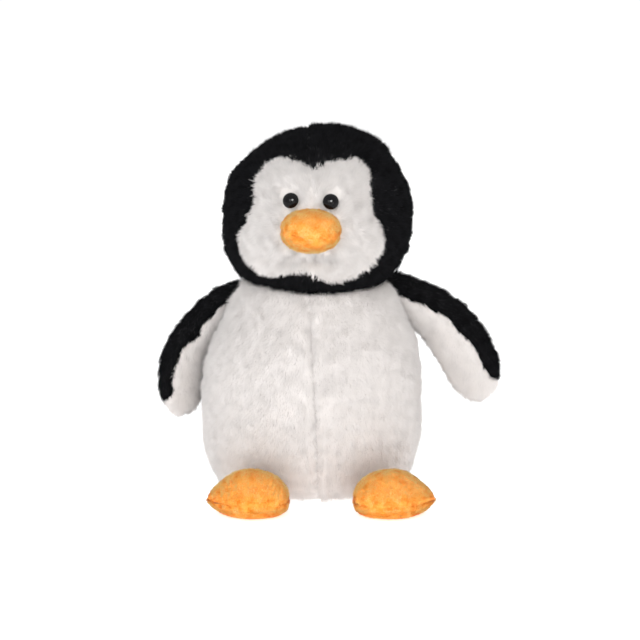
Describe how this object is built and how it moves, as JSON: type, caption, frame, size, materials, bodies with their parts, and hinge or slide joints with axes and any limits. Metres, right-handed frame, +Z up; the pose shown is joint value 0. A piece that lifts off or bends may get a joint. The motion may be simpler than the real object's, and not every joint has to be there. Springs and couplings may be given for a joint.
{
  "type": "plush penguin",
  "caption": "Sitting stuffed penguin in black, white and orange plush, with a heart-shaped face patch, two flippers, two feet and a soft beak.",
  "frame": {"origin": "on the floor, at the centre of the flat base panel the toy sits on", "axes": "+Z up; the penguin faces -Y; its own left is at +X"},
  "size_m": [0.2606, 0.186, 0.2855],
  "materials": {
    "black_plush": "long soft pile",
    "white_plush": "long soft pile",
    "orange_plush": "short dense pile",
    "stuffing": "loose polyester fibre",
    "pouch_cloth": "plain woven cotton",
    "eye_plastic": "polished",
    "washer_plastic": "moulded"
  },
  "bodies": {
    "torso": {"belly_panel_left": "white_plush", "back_panel_left": "black_plush", "belly_panel_right": "white_plush", "back_panel_right": "black_plush", "base_panel": "white_plush", "torso_stuffing": "stuffing", "pellet_pouch": "pouch_cloth"},
    "head": {"hood_panel_left": "black_plush", "face_panel_left": "white_plush", "eye_left": "eye_plastic", "eye_washer_left": "washer_plastic", "hood_panel_right": "black_plush", "face_panel_right": "white_plush", "eye_right": "eye_plastic", "eye_washer_right": "washer_plastic", "beak_upper": "orange_plush", "beak_lower": "orange_plush", "beak_stuffing": "stuffing", "head_stuffing": "stuffing"},
    "flipper_left": {"flipper_left_inner": "white_plush", "flipper_left_outer": "black_plush", "flipper_left_stuffing": "stuffing"},
    "flipper_right": {"flipper_right_inner": "white_plush", "flipper_right_outer": "black_plush", "flipper_right_stuffing": "stuffing"},
    "foot_left": {"foot_left_upper": "orange_plush", "foot_left_sole": "orange_plush", "foot_left_stuffing": "stuffing"},
    "foot_right": {"foot_right_upper": "orange_plush", "foot_right_sole": "orange_plush", "foot_right_stuffing": "stuffing"}
  },
  "joints": [
    {"name": "head_turn", "type": "hinge", "parent": "torso", "child": "head", "pos_m": [0.002, -0.004, 0.16], "axis": [0, 0, 1], "range_deg": [-20, 20], "stiffness_Nm_per_rad": 0.5},
    {"name": "flipper_left_lift", "type": "hinge", "parent": "torso", "child": "flipper_left", "pos_m": [0.068, 0.007, 0.15], "axis": [0, -1, 0], "range_deg": [-8, 40], "stiffness_Nm_per_rad": 0.4},
    {"name": "flipper_right_lift", "type": "hinge", "parent": "torso", "child": "flipper_right", "pos_m": [-0.067, 0.007, 0.148], "axis": [0, 1, 0], "range_deg": [0, 54], "stiffness_Nm_per_rad": 0.4},
    {"name": "foot_left_flex", "type": "hinge", "parent": "torso", "child": "foot_left", "pos_m": [0.059, -0.066, 0.01], "axis": [-1, 0, 0], "range_deg": [0, 15], "stiffness_Nm_per_rad": 0.4},
    {"name": "foot_right_flex", "type": "hinge", "parent": "torso", "child": "foot_right", "pos_m": [-0.05, -0.066, 0.01], "axis": [-1, 0, 0], "range_deg": [0, 15], "stiffness_Nm_per_rad": 0.4}
  ]
}
